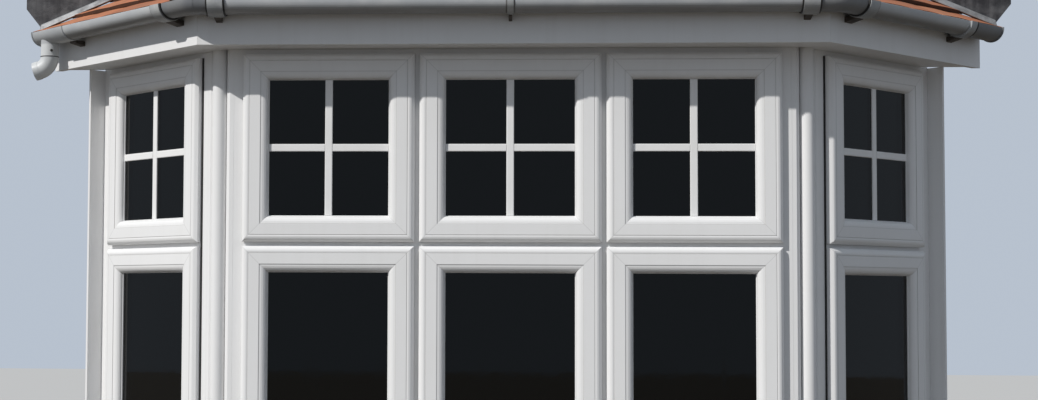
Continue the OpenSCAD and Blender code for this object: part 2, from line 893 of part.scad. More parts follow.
// One rafter of the front slope or of a side slope, centred at x. It is notched
// over the head beam, and its foot stands on the soffit behind the fascia.
module rafter(x) {
    start = fascia_proud - fascia_t - seat;
    difference() {
        intersection() {
            slope_layer(-rafter_h, rafter_h, start + rafter_h, big);
            translate([x - rafter_w / 2, -start, soffit_z + soffit_t + seat])
                cube([rafter_w, big, big]);
        }
        translate([x - rafter_w, frame_face - seat, 0])
            cube([2 * rafter_w, big, head_top + seat]);
    }
}

module rafters() {
    color(timber) {
        intersection() {
            on_front() for (x = front_rafters) rafter(x);
            translate([0, -ledger_t - seat]) linear_extrude(big) front_sector(hip_w / 2 + timber_gap);
        }
        for (m = [0, 1]) mirror([m, 0, 0]) intersection() {
            on_right() for (x = side_rafters) rafter(x);
            linear_extrude(big) right_sector(hip_w / 2 + timber_gap, -ledger_t - seat);
        }
    }
}

// Places a piece drawn along X up the line of the right hip, z above the rafters
module on_hip(z) {
    translate([hip_x, -bay_depth - fascia_proud, z])
        rotate([0, 0, 90 + cant_angle / 2]) rotate([0, -hip_pitch, 0]) children();
}

// Hip rafter of the right corner, under the meeting line of two slopes
module right_hip_rafter() {
    intersection() {
        on_hip(rafter_top) translate([0, -hip_w / 2, -hip_h - hip_set]) cube([far, hip_w, hip_h]);
        linear_extrude(big) plan_area(fascia_proud - fascia_t - seat, -ledger_t - seat);
        translate([-big / 2, -big / 2, head_top + seat]) cube([big, big, big]);
    }
}

module hip_rafters() {
    color(timber) {
        right_hip_rafter();
        mirror([1, 0, 0]) right_hip_rafter();
    }
}

// Timber plate against the house wall, following the roof
module wall_ledger() {
    color(timber) intersection() {
        union() {
            intersection() {
                on_front() slope_layer(-rafter_h, rafter_h, 0, big);
                linear_extrude(big) front_sector();
            }
            for (m = [0, 1]) mirror([m, 0, 0]) intersection() {
                on_right() slope_layer(-rafter_h, rafter_h, fascia_proud - ledger_back, big);
                linear_extrude(big) right_sector();
            }
        }
        translate([-big / 2, -ledger_t, head_top + seat]) cube([big, ledger_t, big]);
    }
}

module ceiling_joists() {
    front = glass_y + beam_set + head_beam_w + seat;
    color(timber) for (x = front_rafters)
        translate([x + rafter_w / 2 + seat, front, frame_head])
        cube([rafter_w, -front, joist_h]);
}

// Third round hip tile run along the right hip
module right_hip_tile() {
    above = 2 * hip_tile_r;
    intersection() {
        on_hip(slope_z(lead_lift, fascia_proud))
            translate([-tile_lap - hip_tile_lip, 0, hip_tile_rise - hip_tile_r])
            rotate([0, 90, 0]) difference() {
                cylinder(r = hip_tile_r, h = far, $fn = 64);
                translate([0, 0, -1]) cylinder(r = hip_tile_r - hip_tile_t, h = far + 2, $fn = 64);
            }
        linear_extrude(big) plan_area(tile_start + hip_tile_room);
        union() {
            on_front() slope_layer(lead_lift, above, tile_start + hip_tile_room + tile_lap, big);
            on_right() slope_layer(lead_lift, above, tile_start + hip_tile_room + tile_lap, big);
        }
    }
}

module hip_tiles() {
    color(tile_red) {
        right_hip_tile();
        mirror([1, 0, 0]) right_hip_tile();
    }
}

// Slope of the side roof where it meets the house wall, and its height there
wall_rise = rise / (half_turn + 1 / tan(cant_angle));
lead_foot_x = side_end(tile_start, 0) - lead_back;

function lead_z(x) = slope_z(lead_lift, tile_start) + (side_end(tile_start, 0) - x) * wall_rise;

// Lead over the upper edge of the right slope, and its upstand on the house wall
module right_flashing() {
    top_x = corner(-bay_depth) + flashing_inset;
    out_x = lead_foot_x + lead_flare;
    up = lead_up * sqrt(1 + wall_rise * wall_rise);
    intersection() {
        on_right() slope_layer(lead_lift, lead_t, tile_start, big);
        linear_extrude(big) intersection() {
            right_sector(flashing_inset);
            translate([0, -side_lead_w]) square([lead_foot_x, side_lead_w]);
        }
    }
    rotate([90, 0, 0]) linear_extrude(lead_t) polygon([
        [lead_foot_x, lead_z(lead_foot_x)], [out_x, lead_z(lead_foot_x) + flare_h],
        [out_x, lead_z(out_x) + up], [top_x, lead_z(top_x) + up], [top_x, lead_z(top_x)]
    ]);
}

module side_flashings() {
    color(lead_grey) {
        right_flashing();
        mirror([1, 0, 0]) right_flashing();
    }
}

module top_flashing() {
    half = corner(-bay_depth) - flashing_inset;
    color(lead_grey) {
        intersection() {
            on_front() slope_layer(lead_lift, lead_t, tile_start, big);
            linear_extrude(big) intersection() {
                front_sector(flashing_inset);
                translate([-big / 2, -lead_w]) square([big, lead_w]);
            }
        }
        translate([-half, -lead_t, slope_z(lead_lift, -bay_depth)]) cube([2 * half, lead_t, lead_up]);
    }
}

brick_dwarf_wall();
plaster_lining();
floor_slab();
window_board();
front_cill();
left_cill();
right_cill();
front_frame();
left_frame();
right_frame();
mirror([1, 0, 0]) bay_pole();  // left_bay_pole
bay_pole();  // right_bay_pole
pole_adaptors();
jamb_fillers();
reveal_boards();
front_fanlight(0);  // front_left_fanlight
front_fanlight(1);  // front_centre_fanlight
front_fanlight(2);  // front_right_fanlight
on_left() side_fanlight();  // left_side_fanlight
on_right() side_fanlight();  // right_side_fanlight
front_sash(0);  // front_left_sash
front_sash(1);  // front_centre_sash
front_sash(2);  // front_right_sash
on_left() side_sash();  // left_side_sash
on_right() side_sash();  // right_side_sash
on_front() panes(front_lights);  // front_glass
on_left() panes(side_lights);  // left_glass
on_right() panes(side_lights);  // right_glass
head_beam();
ceiling_board();
soffit_boards();
front_fascia();
left_fascia();
right_fascia();
front_gutter();
left_gutter();
right_gutter();
gutter_angles();
gutter_brackets();
gutter_outlet();
outlet_bend();
gutter_stop_end();
ceiling_joists();
wall_ledger();
rafters();
hip_rafters();
tile_battens();
front_roof_tiles();
left_roof_tiles();
right_roof_tiles();
hip_tiles();
side_flashings();
top_flashing();
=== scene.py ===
import math
import random

import bmesh
import bpy
from mathutils import Matrix, Vector


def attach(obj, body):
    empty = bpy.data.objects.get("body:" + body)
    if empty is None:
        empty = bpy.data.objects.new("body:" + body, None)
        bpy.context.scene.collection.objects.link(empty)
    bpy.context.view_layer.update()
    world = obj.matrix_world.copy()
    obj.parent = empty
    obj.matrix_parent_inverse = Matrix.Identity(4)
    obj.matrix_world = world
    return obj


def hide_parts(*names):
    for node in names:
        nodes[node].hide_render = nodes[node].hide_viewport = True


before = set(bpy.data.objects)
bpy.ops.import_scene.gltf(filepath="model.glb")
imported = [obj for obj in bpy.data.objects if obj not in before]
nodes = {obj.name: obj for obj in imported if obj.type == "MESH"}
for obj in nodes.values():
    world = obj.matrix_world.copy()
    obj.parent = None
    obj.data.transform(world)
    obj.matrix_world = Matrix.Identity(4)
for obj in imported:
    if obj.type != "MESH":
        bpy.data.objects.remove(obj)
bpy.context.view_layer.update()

# Camera: it stands at eye height on the bay's centre line, 5.3 m in front of
# the bay's back plane, and looks a little up and to the left. The crop of the
# 1038 by 400 frame puts the lens axis left of the middle.
frame_w, frame_h = 1038, 400
focal_px = 1683.37
axis_px = (411.287, 212.245)
sensor_w = 36.0
camera_data = bpy.data.cameras.new("camera")
camera_data.sensor_width = sensor_w
camera_data.lens = focal_px * sensor_w / frame_w
camera_data.shift_x = (frame_w / 2 - axis_px[0]) / frame_w
camera_data.shift_y = (axis_px[1] - frame_h / 2) / frame_w
camera_data.clip_start = 0.05
camera = bpy.data.objects.new("camera", camera_data)
bpy.context.scene.collection.objects.link(camera)
look_right = Vector((0.99828, 0.05840, 0.00448)).normalized()
look_ahead = Vector((-0.05855, 0.99709, 0.04884)).normalized()
look_up = look_right.cross(look_ahead).normalized()
camera_turn = Matrix((look_right, look_up, -look_ahead)).transposed()
eye = (-0.0003, -5.2891, 1.600)
camera.matrix_world = Matrix.Translation(eye) @ camera_turn.to_4x4()
bpy.context.scene.camera = camera


# Studio: a plain pale floor, an even pale surround, and one soft key light high
# on the left, where the light comes from in the photograph. Floor and surround
# are darker for bounced light than for the eye.
def add_node(tree, kind, inputs=None, **settings):
    made = tree.nodes.new(kind)
    for name, value in settings.items():
        setattr(made, name, value)
    for name, value in (inputs or {}).items():
        if isinstance(value, bpy.types.NodeSocket):
            tree.links.new(value, made.inputs[name])
        else:
            made.inputs[name].default_value = value
    return made


def new_finish(name, colour, roughness, **sockets):
    made = bpy.data.materials.new(name)
    made.use_nodes = True
    shader = made.node_tree.nodes["Principled BSDF"]
    shader.inputs["Base Color"].default_value = (*colour, 1)
    shader.inputs["Roughness"].default_value = roughness
    for socket, value in sockets.items():
        shader.inputs[socket.replace("_", " ")].default_value = value
    return made, made.node_tree, shader


def mixed(tree, share, first, second):
    made = add_node(tree, "ShaderNodeMix", data_type="RGBA")
    for index, value in ((0, share), (6, first), (7, second)):
        if isinstance(value, bpy.types.NodeSocket):
            tree.links.new(value, made.inputs[index])
        else:
            made.inputs[index].default_value = value if index == 0 else (*value, 1)
    return made.outputs[2]


def nothing_selected():
    if bpy.context.object and bpy.context.object.mode == "EDIT":
        bpy.ops.object.mode_set(mode="OBJECT")
    bpy.ops.object.select_all(action="DESELECT")


nothing_selected()
bpy.ops.mesh.primitive_grid_add(
    x_subdivisions=8, y_subdivisions=8, size=60, location=(0, 0, -0.001))
studio_floor = bpy.context.object
studio_floor.name = "studio_floor"
floor_paint, floor_tree, floor_shader = new_finish("pale_floor", (0.5, 0.5, 0.5), 0.9)
seen = add_node(floor_tree, "ShaderNodeLightPath").outputs["Is Camera Ray"]
floor_tone = mixed(floor_tree, seen, (0.100, 0.086, 0.068), (0.56, 0.555, 0.54))
floor_tree.links.new(floor_tone, floor_shader.inputs["Base Color"])
studio_floor.data.materials.append(floor_paint)

sky_fill, sky_mirrored, sky_seen = 0.43, 0.22, 0.62
surround = bpy.data.worlds.new("surround")
surround.use_nodes = True
sky = surround.node_tree.nodes["Background"]
sky.inputs["Color"].default_value = (0.77, 0.865, 1.0, 1)
ray = add_node(surround.node_tree, "ShaderNodeLightPath").outputs
mirrored = add_node(surround.node_tree, "ShaderNodeMapRange", {
    "Value": ray["Is Glossy Ray"], "To Min": sky_fill, "To Max": sky_mirrored})
backdrop = add_node(surround.node_tree, "ShaderNodeMapRange", {
    "Value": ray["Is Camera Ray"], "To Min": mirrored.outputs["Result"], "To Max": sky_seen})
surround.node_tree.links.new(backdrop.outputs["Result"], sky.inputs["Strength"])
bpy.context.scene.world = surround
key_data = bpy.data.lights.new("key", "SUN")
key_data.energy = 3.15
key_data.angle = math.radians(0.8)
key_data.color = (1.0, 0.975, 0.94)
key = bpy.data.objects.new("key", key_data)
key.rotation_mode = "QUATERNION"
key.rotation_quaternion = Vector((-0.571, -0.505, 0.647)).to_track_quat("Z", "Y")
bpy.context.scene.collection.objects.link(key)
bpy.context.scene.view_settings.view_transform = "Standard"


# Weathering for every finish of the bay: blotches of dust, streaks that rain
# leaves down upright faces, and a fine grain. It gives masks only.
def between(tree, value, low, high, start=0.0, end=1.0):
    made = add_node(tree, "ShaderNodeMapRange", {
        "Value": value, "From Min": low, "From Max": high, "To Min": start, "To Max": end},
        interpolation_type="SMOOTHSTEP")
    return made.outputs["Result"]


weather = bpy.data.node_groups.new("weathering", "ShaderNodeTree")
weather.interface.new_socket("Size", in_out="INPUT", socket_type="NodeSocketFloat")
for mask_name in ("Blotch", "Streak", "Grain"):
    weather.interface.new_socket(mask_name, in_out="OUTPUT", socket_type="NodeSocketFloat")
group_in = weather.nodes.new("NodeGroupInput")
group_out = weather.nodes.new("NodeGroupOutput")
place = weather.nodes.new("ShaderNodeTexCoord").outputs["Object"]
blotch_noise = add_node(weather, "ShaderNodeTexNoise", {
    "Vector": place, "Scale": group_in.outputs["Size"], "Detail": 8.0, "Roughness": 0.62})
streak_place = add_node(weather, "ShaderNodeMapping", {"Vector": place, "Scale": (38, 38, 1.6)})
streak_noise = add_node(weather, "ShaderNodeTexNoise", {
    "Vector": streak_place.outputs[0], "Scale": 1.0, "Detail": 6.0, "Roughness": 0.6})
grain_noise = add_node(weather, "ShaderNodeTexNoise", {
    "Vector": place, "Scale": 420.0, "Detail": 3.0, "Roughness": 0.6})
blotches = between(weather, blotch_noise.outputs[0], 0.38, 0.68)
streaks = between(weather, streak_noise.outputs[0], 0.45, 0.75)
weather.links.new(blotches, group_out.inputs["Blotch"])
weather.links.new(streaks, group_out.inputs["Streak"])
weather.links.new(grain_noise.outputs[0], group_out.inputs["Grain"])


def weathering(tree, size):
    made = add_node(tree, "ShaderNodeGroup", node_tree=weather)
    made.inputs["Size"].default_value = size
    return made.outputs["Blotch"], made.outputs["Streak"], made.outputs["Grain"]


# Brick dwarf wall: red facing bricks of 215 x 102.5 x 65 mm in stretcher bond,
# eleven courses of 75 mm, bedded in sandy mortar that is raked a little back.
# Cut angle bricks turn the two corners, with their long leg on alternate sides.
glass_line = -0.436
corner_x = 0.839
cant = math.radians(45)
half_turn = math.tan(cant / 2)
right_side = Matrix.Translation((corner_x, glass_line, 0)) @ Matrix.Rotation(cant, 4, "Z")
left_side = Matrix.Translation((-corner_x, glass_line, 0)) @ Matrix.Rotation(-cant, 4, "Z")
front_side = Matrix.Translation((0, glass_line, 0))
course, courses = 0.075, 11
wall_top = course * courses
wall_inside = -0.180
brick_size = (0.215, 0.1025, 0.065)
brick_stand = 0.035
brick_joint = 0.010
brick_edge = 0.004
brick_shake, brick_step = 0.003, 0.0012
mortar_set_back = 0.005
mortar_back, brick_back = -0.004, -0.0008
long_leg, short_leg = 0.169, 0.0565
end_brick_in, end_brick_stagger = 0.155, 0.030
random.seed(11)


def corner_at(stand):
    return corner_x + stand * half_turn


def picked(piece):
    nothing_selected()
    bpy.context.view_layer.objects.active = piece
    piece.select_set(True)


def editing(piece):
    picked(piece)
    bpy.ops.object.mode_set(mode="EDIT")
    bpy.ops.mesh.select_all(action="SELECT")


def bevelled(piece, width, segments=2, limit=30):
    rounding = piece.modifiers.new("rounding", "BEVEL")
    rounding.width = width
    rounding.segments = segments
    rounding.limit_method = "ANGLE"
    rounding.angle_limit = math.radians(limit)
    picked(piece)
    bpy.ops.object.modifier_apply(modifier=rounding.name)


def faced_outwards(piece):
    editing(piece)
    bpy.ops.mesh.normals_make_consistent(inside=False)
    bpy.ops.object.mode_set(mode="OBJECT")


def bent_block(name, points, low, high):
    """A block along pairs of plan points, (outer, inner) at each station."""
    nothing_selected()
    bpy.ops.mesh.primitive_cube_add(size=1)
    block = bpy.context.object
    block.name = name
    for v in block.data.vertices:
        outer, inner = points[0] if v.co.x < 0 else points[1]
        v.co = (*(outer if v.co.y < 0 else inner), low if v.co.z < 0 else high)
    for last, station in zip(points[1:], points[2:]):
        last_outer, last_inner = Vector(last[0]), Vector(last[1])
        editing(block)
        bpy.ops.mesh.select_all(action="DESELECT")
        mesh = bmesh.from_edit_mesh(block.data)
        for face in mesh.faces:
            off_end = face.calc_center_median().xy - (last_outer + last_inner) / 2
            if off_end.length < 1e-5 and abs(face.normal.z) < 0.5:
                face.select_set(True)
        bmesh.update_edit_mesh(block.data)
        bpy.ops.mesh.extrude_region()
        mesh = bmesh.from_edit_mesh(block.data)
        for v in mesh.verts:
            if v.select:
                near_outer = (v.co.xy - last_outer).length < (v.co.xy - last_inner).length
                v.co.xy = station[0] if near_outer else station[1]
        bmesh.update_edit_mesh(block.data)
    faced_outwards(block)
    return block


def plan_points(outer, inner):
    """Stations of a band round the bay, from its left end to its right one."""
    def line(stand):
        end = corner_at(stand) + (stand - glass_line) / math.tan(cant)
        return [(-end, 0), (-corner_at(stand), glass_line - stand),
                (corner_at(stand), glass_line - stand), (end, 0)]
    return list(zip(line(outer), line(inner)))


def copied(piece, where):
    """A copy with its own mesh, with its faces outwards where it is mirrored."""
    twin = piece.copy()
    twin.data = piece.data.copy()
    twin.data.transform(where)
    if where.determinant() < 0:
        twin.data.flip_normals()
    bpy.context.scene.collection.objects.link(twin)
    return twin


def joined(name, pieces):
    nothing_selected()
    for piece in pieces:
        piece.select_set(True)
    bpy.context.view_layer.objects.active = pieces[0]
    bpy.ops.object.join()
    pieces[0].name = name
    pieces[0].data.name = name
    return pieces[0]


def trimmed(piece, point, normal, closed=True):
    """Cuts off what lies on the normal's side of a plane, and closes the cuts."""
    editing(piece)
    bpy.ops.mesh.bisect(plane_co=point, plane_no=normal, use_fill=closed, clear_outer=True)
    bpy.ops.object.mode_set(mode="OBJECT")


def finished(piece, finish, slot, *stands_for):
    piece.data.materials.clear()
    piece.data.materials.append(finish)
    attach(piece, "root")
    if stands_for:
        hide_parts(*stands_for)


mortar_core = bent_block(
    "wall_mortar", plan_points(brick_stand - mortar_set_back, wall_inside), 0, wall_top)
trimmed(mortar_core, (0, mortar_back, 0), (0, 1, 0))
nothing_selected()
bpy.ops.mesh.primitive_cube_add(size=1)
first_brick = bpy.context.object
editing(first_brick)
bpy.ops.transform.resize(value=brick_size)
bpy.ops.object.mode_set(mode="OBJECT")
bevelled(first_brick, brick_edge)
brick_l, brick_w, brick_h = brick_size
turn = Vector((corner_at(brick_stand), glass_line - brick_stand))
turn_in = Vector((corner_at(brick_stand - brick_w), glass_line - brick_stand + brick_w))
along = Vector((math.cos(cant), math.sin(cant)))
inward = Vector((-math.sin(cant), math.cos(cant))) * brick_w
angle_bricks = []
for front_leg, side_leg in ((long_leg, short_leg), (short_leg, long_leg)):
    side_end = turn + along * side_leg
    angle_brick = bent_block("angle_brick", [
        ((turn.x - front_leg, turn.y), (turn.x - front_leg, turn_in.y)),
        (turn, turn_in), (side_end, side_end + inward)], -brick_h / 2, brick_h / 2)
    bevelled(angle_brick, brick_edge)
    angle_bricks.append(angle_brick)
to_left = Matrix.Scale(-1, 4, (1, 0, 0))
front_half = corner_at(brick_stand)
side_length = (brick_stand - glass_line) / math.sin(cant)
side_shift = -brick_stand * half_turn
past_end = 0.08
facing_leaf = -brick_stand + brick_w / 2
inner_leaf = facing_leaf + brick_w + brick_joint
wall_bricks = []
for row in range(courses):
    height = course * (row + 0.5)
    front_leg, side_leg = ((long_leg, short_leg), (short_leg, long_leg))[row % 2]
    for flip in (Matrix.Identity(4), to_left):
        wall_bricks.append(copied(angle_bricks[row % 2], Matrix.Translation((0, 0, height)) @ flip))
    count = (6, 7)[row % 2]
    joint = (2 * (front_half - front_leg) - count * brick_l) / (count + 1)
    for i in range(count):
        x = -front_half + front_leg + joint + brick_l / 2 + i * (brick_l + joint)
        shake = Matrix.Rotation(random.uniform(-brick_shake, brick_shake), 4, "Z")
        y = glass_line + facing_leaf + random.uniform(0, brick_step)
        wall_bricks.append(copied(first_brick, Matrix.Translation((x, y, height)) @ shake))
    for side, sign in ((right_side, 1), (left_side, -1)):
        s = side_shift + side_leg + brick_joint
        while s < side_shift + side_length + past_end:
            spot = (sign * (s + brick_l / 2), facing_leaf + random.uniform(0, brick_step), height)
            wall_bricks.append(copied(first_brick, side @ Matrix.Translation(spot)))
            s += brick_l + brick_joint
        end_s = side_shift + side_length - end_brick_in + (end_brick_stagger if row % 2 else 0)
        spot = (sign * end_s, inner_leaf, height)
        wall_bricks.append(copied(first_brick, side @ Matrix.Translation(spot)))
for spare in (first_brick, *angle_bricks):
    bpy.data.objects.remove(spare)
bricks = joined("wall_bricks", wall_bricks)
trimmed(bricks, (0, brick_back, 0), (0, 1, 0))


def calculated(tree, operation, first, second=0.0):
    return add_node(tree, "ShaderNodeMath", {0: first, 1: second}, operation=operation).outputs[0]


def share_of(tree, mask, amount):
    return calculated(tree, "MULTIPLY", mask, amount)


def one_of_many(tree, first, last, *others):
    """A tone for each loose part of a piece: others are (place, tone) pairs."""
    island = add_node(tree, "ShaderNodeNewGeometry").outputs["Random Per Island"]
    ramp = add_node(tree, "ShaderNodeValToRGB", {"Fac": island})
    ramp.color_ramp.elements[0].color = (*first, 1)
    ramp.color_ramp.elements[1].color = (*last, 1)
    for spot, tone in others:
        ramp.color_ramp.elements.new(spot).color = (*tone, 1)
    return ramp.outputs[0]


def set_bump(tree, shader, height, strength, distance):
    bump = add_node(tree, "ShaderNodeBump", {
        "Height": height, "Strength": strength, "Distance": distance})
    tree.links.new(bump.outputs[0], shader.inputs["Normal"])


brick_clay, tree, shader = new_finish("red_brick", (0.4, 0.16, 0.09), 0.85)
blotch, streak, grain = weathering(tree, 14.0)
burnt = one_of_many(
    tree, (0.30, 0.085, 0.045), (0.55, 0.21, 0.095),
    (0.25, (0.42, 0.12, 0.06)), (0.5, (0.34, 0.11, 0.07)), (0.72, (0.48, 0.17, 0.08)))
dark = mixed(tree, share_of(tree, blotch, 0.55), burnt, (0.16, 0.075, 0.06))
dusty = mixed(tree, share_of(tree, grain, 0.35), dark, (0.50, 0.30, 0.20))
tree.links.new(dusty, shader.inputs["Base Color"])
tree.links.new(between(tree, blotch, 0, 1, 0.95, 0.75), shader.inputs["Roughness"])
set_bump(tree, shader, calculated(tree, "ADD", grain, blotch), 0.6, 0.0012)
mortar, tree, shader = new_finish("sandy_mortar", (0.55, 0.47, 0.36), 0.95)
blotch, streak, grain = weathering(tree, 9.0)
sand = mixed(tree, blotch, (0.56, 0.49, 0.38), (0.40, 0.33, 0.25))
sandy = mixed(tree, share_of(tree, grain, 0.5), sand, (0.68, 0.62, 0.52))
tree.links.new(sandy, shader.inputs["Base Color"])
set_bump(tree, shader, grain, 0.8, 0.0015)
finished(mortar_core, mortar, "brick", "brick_dwarf_wall")
finished(bricks, brick_clay, "brick", "brick_dwarf_wall")


# Inside lining and ceiling: gypsum plaster on the brick and a plasterboard
# ceiling, both trowelled smooth and painted matt white.
def paint_node(finish, *names):
    for name in names:
        nodes[name].data.materials.clear()
        nodes[name].data.materials.append(finish)


plaster, tree, shader = new_finish("painted_plaster", (0.80, 0.78, 0.74), 0.8)
blotch, streak, grain = weathering(tree, 5.0)
tree.links.new(mixed(tree, blotch, (0.82, 0.80, 0.76), (0.74, 0.72, 0.68)), shader.inputs["Base Color"])
set_bump(tree, shader, grain, 0.15, 0.0006)
paint_node(plaster, "plaster_lining", "ceiling_board")

# Floor slab: concrete laid inside the dwarf wall, floated level, with its
# trowel marks and pale laitance left as they are.
concrete, tree, shader = new_finish("floated_concrete", (0.46, 0.45, 0.42), 0.85)
blotch, streak, grain = weathering(tree, 6.0)
pale = mixed(tree, blotch, (0.50, 0.49, 0.46), (0.36, 0.35, 0.33))
floated = mixed(tree, share_of(tree, grain, 0.4), pale, (0.58, 0.57, 0.54))
tree.links.new(floated, shader.inputs["Base Color"])
tree.links.new(between(tree, blotch, 0, 1, 0.9, 0.7), shader.inputs["Roughness"])
set_bump(tree, shader, grain, 0.5, 0.001)
paint_node(concrete, "floor_slab")

# White plastic of the fixed parts: extruded uPVC cills, frames, bay poles,
# adaptors, fillers, reveal boards, soffit and fascia. It is satin, a little
# chalky with age, with faint rain streaks and dust low down.
upvc, tree, shader = new_finish("white_upvc", (0.84, 0.84, 0.83), 0.35)
blotch, streak, grain = weathering(tree, 4.0)
chalky = mixed(tree, share_of(tree, blotch, 0.22), (0.86, 0.86, 0.86), (0.76, 0.757, 0.745))
streaky = mixed(tree, share_of(tree, streak, 0.07), chalky, (0.52, 0.50, 0.46))
tree.links.new(streaky, shader.inputs["Base Color"])
tree.links.new(between(tree, blotch, 0, 1, 0.30, 0.46), shader.inputs["Roughness"])
set_bump(tree, shader, grain, 0.05, 0.0003)
paint_node(
    upvc, "window_board", "front_cill", "left_cill", "right_cill", "front_frame", "left_frame",
    "right_frame", "left_bay_pole", "right_bay_pole", "pole_adaptors", "jamb_fillers",
    "reveal_boards", "soffit_boards", "front_fascia", "left_fascia", "right_fascia")

# Sashes and fanlights: four lengths of moulded uPVC bar welded at mitred
# corners. The welds are trimmed to fine diagonal grooves, and dirt sits in
# them and in the quirks on both sides of the flat.
lower_low, lower_high = 0.884, 1.739
upper_low, upper_high = 1.7515, 2.298
bar_sight = 0.076
quirk_places = (0.0205, 0.0525)
lights = {
    "front_left": (front_side, -0.776, -0.276),
    "front_centre": (front_side, -0.262, 0.262),
    "front_right": (front_side, 0.276, 0.776),
    "right_side": (right_side, 0.103, 0.598),
    "left_side": (left_side, -0.598, -0.103),
}
welds = bpy.data.node_groups.new("welded_corners", "ShaderNodeTree")
for socket in ("Start", "End"):
    welds.interface.new_socket(socket, in_out="INPUT", socket_type="NodeSocketFloat")
welds.interface.new_socket("Place", in_out="INPUT", socket_type="NodeSocketVector")
for socket in ("Weld", "Quirk"):
    welds.interface.new_socket(socket, in_out="OUTPUT", socket_type="NodeSocketFloat")
group_in = welds.nodes.new("NodeGroupInput")
group_out = welds.nodes.new("NodeGroupOutput")
split = add_node(welds, "ShaderNodeSeparateXYZ", {0: group_in.outputs["Place"]})
along, height = split.outputs[0], split.outputs[2]


def distance_in(low, high, value):
    """How far a value lies inside the nearer one of its two limits."""
    return calculated(welds, "MINIMUM", calculated(welds, "SUBTRACT", value, low),
                      calculated(welds, "SUBTRACT", high, value))


def fine_line(value, place, core, edge):
    """A line where a value passes a place, dark to core and gone by edge."""
    off = calculated(welds, "ABSOLUTE", calculated(welds, "SUBTRACT", value, place))
    return between(welds, off, core, edge, 1, 0)


is_upper = calculated(welds, "GREATER_THAN", height, (lower_high + upper_low) / 2)
bottom = between(welds, is_upper, 0, 1, lower_low, upper_low)
top = between(welds, is_upper, 0, 1, lower_high, upper_high)
across = distance_in(group_in.outputs["Start"], group_in.outputs["End"], along)
upward = distance_in(bottom, top, height)
welds.links.new(fine_line(across, upward, 0.0008, 0.0022), group_out.inputs["Weld"])
inward = calculated(welds, "MINIMUM", across, upward)
quirks = [fine_line(inward, place, 0.0004, 0.0018) for place in quirk_places]
welds.links.new(calculated(welds, "MAXIMUM", *quirks), group_out.inputs["Quirk"])
for light, (side, start, end) in lights.items():
    sash_finish, tree, shader = new_finish("white_upvc_" + light, (0.85, 0.85, 0.84), 0.32)
    blotch, streak, grain = weathering(tree, 5.0)
    turned = add_node(tree, "ShaderNodeMapping", {
        "Vector": tree.nodes.new("ShaderNodeTexCoord").outputs["Object"],
        "Location": side.translation, "Rotation": side.to_euler()}, vector_type="TEXTURE")
    corners = add_node(tree, "ShaderNodeGroup", node_tree=welds)
    tree.links.new(turned.outputs[0], corners.inputs["Place"])
    corners.inputs["Start"].default_value = start
    corners.inputs["End"].default_value = end
    weld, quirk = corners.outputs["Weld"], corners.outputs["Quirk"]
    chalky = mixed(tree, share_of(tree, blotch, 0.2), (0.87, 0.87, 0.87), (0.78, 0.777, 0.765))
    streaky = mixed(tree, share_of(tree, streak, 0.05), chalky, (0.52, 0.50, 0.46))
    grimy = mixed(tree, share_of(tree, quirk, 0.3), streaky, (0.34, 0.33, 0.31))
    welded = mixed(tree, share_of(tree, weld, 0.22), grimy, (0.36, 0.36, 0.36))
    tree.links.new(welded, shader.inputs["Base Color"])
    tree.links.new(between(tree, blotch, 0, 1, 0.28, 0.42), shader.inputs["Roughness"])
    set_bump(tree, shader, calculated(tree, "SUBTRACT", grain, weld), 0.25, 0.0004)
    paint_node(sash_finish, light + "_fanlight", light + "_sash")


# Shadow gaps of the side lights: beside each corner pole the sash stands clear of its frame;
# a black strip is put there as painted shade of the gap and its rubber gasket, cill to head.
# Near black rubber, also used as painted shade in the gaps and joints it fills.
def black_rubber_and_shade(name, colour, roughness, clean, dusty):
    finish, tree, shader = new_finish(name, colour, roughness)
    blotch, streak, grain = weathering(tree, 20.0)
    tree.links.new(mixed(tree, share_of(tree, blotch, 0.5), clean, dusty), shader.inputs["Base Color"])
    set_bump(tree, shader, grain, 0.2, 0.0005)
    return finish


gasket_near, gasket_far = 0.0972, 0.1030
gasket_front, gasket_back = -0.0012, 0.0018
gap_shade_gaskets = []
for side, sign in ((right_side, 1), (left_side, -1)):
    ends = sorted((sign * gasket_near, sign * gasket_far))
    strip = bent_block("gap_shade_gasket", [((s, gasket_front), (s, gasket_back)) for s in ends],
                       lower_low, upper_high)
    bevelled(strip, 0.0005, 1)
    strip.data.transform(side)
    gap_shade_gaskets.append(strip)
gap_shade_gasket = black_rubber_and_shade(
    "black_gasket_and_gap_shade", (0.02, 0.02, 0.02), 0.6, (0.012, 0.012, 0.012), (0.045, 0.044, 0.042))
finished(joined("side_sash_gaskets_and_gap_shade", gap_shade_gaskets), gap_shade_gasket, "white_upvc")

# Glazing bars: bevelled white strips bonded to both faces of each fanlight's
# sealed unit, one upright and one across, that divide it into four.
glass_low, glass_high = upper_low + bar_sight, upper_high - bar_sight
glass_t = 0.024
strip_w, strip_t = 0.022, 0.004
strip_bevel = 0.003
strip_end_gap, strip_cross_gap, strip_face_gap = 0.001, 0.0008, 0.0002
bar_finish, tree, shader = new_finish("white_glazing_bar", (0.86, 0.86, 0.86), 0.34)
blotch, streak, grain = weathering(tree, 8.0)
chalky = mixed(tree, share_of(tree, blotch, 0.3), (0.88, 0.88, 0.875), (0.78, 0.775, 0.76))
tree.links.new(chalky, shader.inputs["Base Color"])
set_bump(tree, shader, grain, 0.05, 0.0003)


